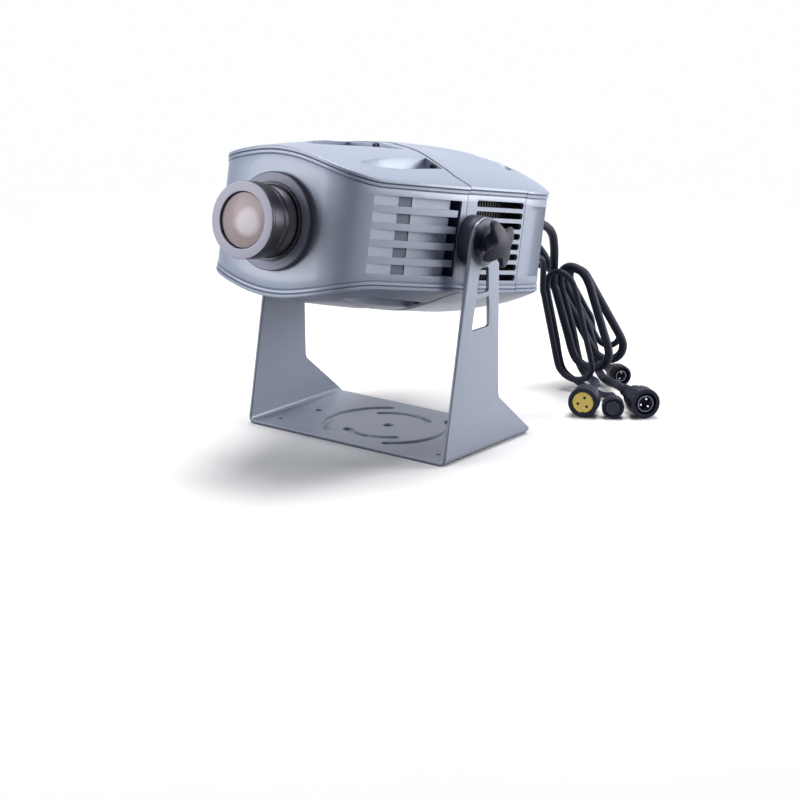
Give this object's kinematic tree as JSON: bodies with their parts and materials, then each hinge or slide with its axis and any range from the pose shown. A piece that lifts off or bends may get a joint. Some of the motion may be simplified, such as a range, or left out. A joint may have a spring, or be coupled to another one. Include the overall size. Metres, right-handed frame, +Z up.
{
  "type": "snowflake projector",
  "caption": "Weatherproof effect projector: a tilting three-section housing with a focusing lens, on a U-shaped floor bracket, with hanked cords and connectors.",
  "frame": {"origin": "on the floor under the bracket base, below the tilt axis and midway between the arms", "axes": "+Z up, -Y where the lens looks, +X to the right of someone facing along +Y"},
  "size_m": [0.3229, 0.5337, 0.2918],
  "materials": {
    "painted_steel": "blue-grey powder coat on bent steel sheet",
    "painted_casting": "blue-grey powder coat on die-cast aluminium",
    "black_anodised": "black anodised, satin",
    "black_plastic": "matt black, moulded",
    "black_rubber": "matt black rubber",
    "nickel_plate": "nickel plated, polished",
    "steel": "turned steel",
    "bare_aluminium": "bare, extruded",
    "coated_glass": "polished with a pinkish coating",
    "board_green": "glass-fibre board",
    "phosphor": "yellow phosphor",
    "brass": "machined",
    "zinc": "zinc plated motor can",
    "black_overlay": "gloss black overlay",
    "grey_button": "light grey moulding"
  },
  "bodies": {
    "bracket": {"yoke_bracket": "painted_steel", "connector_power_out": "black_plastic", "connector_power_in": "black_plastic", "connector_signal_out": "black_plastic", "connector_signal_in": "black_plastic", "cord_power_out_hank": "black_rubber", "cord_power_in_hank": "black_rubber", "cord_signal_out_hank": "black_rubber", "cord_signal_in_hank": "black_rubber", "cord_power_out_lead": "black_rubber", "cord_power_in_lead": "black_rubber", "cord_signal_out_lead": "black_rubber", "cord_signal_in_lead": "black_rubber"},
    "head": {"front_housing": "painted_casting", "middle_housing": "painted_casting", "rear_cover": "painted_casting", "knob_stud_right": "steel", "knob_stud_left": "steel", "pivot_boss_right": "black_plastic", "pivot_boss_left": "black_plastic", "front_seam_gasket": "black_rubber", "rear_seam_gasket": "black_rubber", "lens_flange": "black_anodised", "heat_sink": "bare_aluminium", "led_board": "bare_aluminium", "led_emitter": "phosphor", "condenser_holder": "black_anodised", "condenser_lens": "coated_glass", "gobo_carrier": "bare_aluminium", "gobo_motor": "zinc", "fan_frame": "black_plastic", "power_supply": "bare_aluminium", "display_module": "black_plastic", "control_board": "board_green", "display_window": "black_overlay", "gland_body_power_out": "nickel_plate", "gland_nut_power_out": "nickel_plate", "gland_body_power_in": "nickel_plate", "gland_nut_power_in": "nickel_plate", "gland_body_signal_out": "nickel_plate", "gland_nut_signal_out": "nickel_plate", "gland_body_signal_in": "nickel_plate", "gland_nut_signal_in": "nickel_plate"},
    "star_knob_right": {"star_knob_right": "black_plastic"},
    "star_knob_left": {"star_knob_left": "black_plastic"},
    "lens_turn": {"lens_barrel": "black_anodised", "lens_front_ring": "black_anodised"},
    "objective": {"objective_front_lens": "coated_glass", "objective_rear_lens": "coated_glass"},
    "lock_ring": {"lens_lock_ring": "black_anodised"},
    "gobo_ring": {"gobo_ring_gear": "brass", "gobo_disc": "steel"},
    "gobo_pinion": {"gobo_pinion": "brass"},
    "fan_rotor": {"fan_rotor": "black_plastic"},
    "menu_button_1": {"menu_button_1": "grey_button"},
    "menu_button_2": {"menu_button_2": "grey_button"},
    "menu_button_3": {"menu_button_3": "grey_button"},
    "menu_button_4": {"menu_button_4": "grey_button"}
  },
  "joints": [
    {"name": "head_tilt", "type": "hinge", "parent": "bracket", "child": "head", "pos_m": [0, 0, 0.199], "axis": [-1, 0, 0], "range_deg": [-60, 80], "deforming": ["cord_power_out_lead", "cord_power_in_lead", "cord_signal_out_lead", "cord_signal_in_lead"]},
    {"name": "knob_right_turn", "type": "hinge", "parent": "bracket", "child": "star_knob_right", "pos_m": [0.1258, 0, 0.199], "axis": [1, 0, 0], "range_deg": [-360, 360]},
    {"name": "knob_left_turn", "type": "hinge", "parent": "bracket", "child": "star_knob_left", "pos_m": [-0.1258, 0, 0.199], "axis": [-1, 0, 0], "range_deg": [-360, 360]},
    {"name": "focus_slide", "type": "slide", "parent": "head", "child": "objective", "axis": [0, -0.9848, 0.1736], "range_m": [-0.008, 0.008]},
    {"name": "focus_turn", "type": "hinge", "parent": "objective", "child": "lens_turn", "pos_m": [0, -0.16742, 0.22852], "axis": [0, -0.9848, 0.1736], "range_deg": [-960, 960]},
    {"name": "lock_ring_turn", "type": "hinge", "parent": "head", "child": "lock_ring", "pos_m": [0, -0.16584, 0.22824], "axis": [0, -0.9848, 0.1736], "range_deg": [-90, 90]},
    {"name": "gobo_ring_turn", "type": "hinge", "parent": "head", "child": "gobo_ring", "pos_m": [0, -0.06332, 0.21017], "axis": [0, 0.9848, -0.1736], "continuous": true},
    {"name": "gobo_pinion_turn", "type": "hinge", "parent": "head", "child": "gobo_pinion", "pos_m": [0.04, -0.06332, 0.21017], "axis": [0, 0.9848, -0.1736], "continuous": true},
    {"name": "fan_turn", "type": "hinge", "parent": "head", "child": "fan_rotor", "pos_m": [0, 0.08715, 0.18363], "axis": [0, 0.9848, -0.1736], "continuous": true},
    {"name": "button_1_press", "type": "slide", "parent": "head", "child": "menu_button_1", "axis": [0, -0.9848, 0.1736], "range_m": [0, 0.0008], "stiffness_N_per_m": 400, "springref_m": -0.0005},
    {"name": "button_2_press", "type": "slide", "parent": "head", "child": "menu_button_2", "axis": [0, -0.9848, 0.1736], "range_m": [0, 0.0008], "stiffness_N_per_m": 400, "springref_m": -0.0005},
    {"name": "button_3_press", "type": "slide", "parent": "head", "child": "menu_button_3", "axis": [0, -0.9848, 0.1736], "range_m": [0, 0.0008], "stiffness_N_per_m": 400, "springref_m": -0.0005},
    {"name": "button_4_press", "type": "slide", "parent": "head", "child": "menu_button_4", "axis": [0, -0.9848, 0.1736], "range_m": [0, 0.0008], "stiffness_N_per_m": 400, "springref_m": -0.0005}
  ],
  "couplings": [
    {"joint": "focus_slide", "follows": "focus_turn", "m_per_rad": 0.00047746},
    {"joint": "gobo_pinion_turn", "follows": "gobo_ring_turn", "ratio": -4}
  ]
}
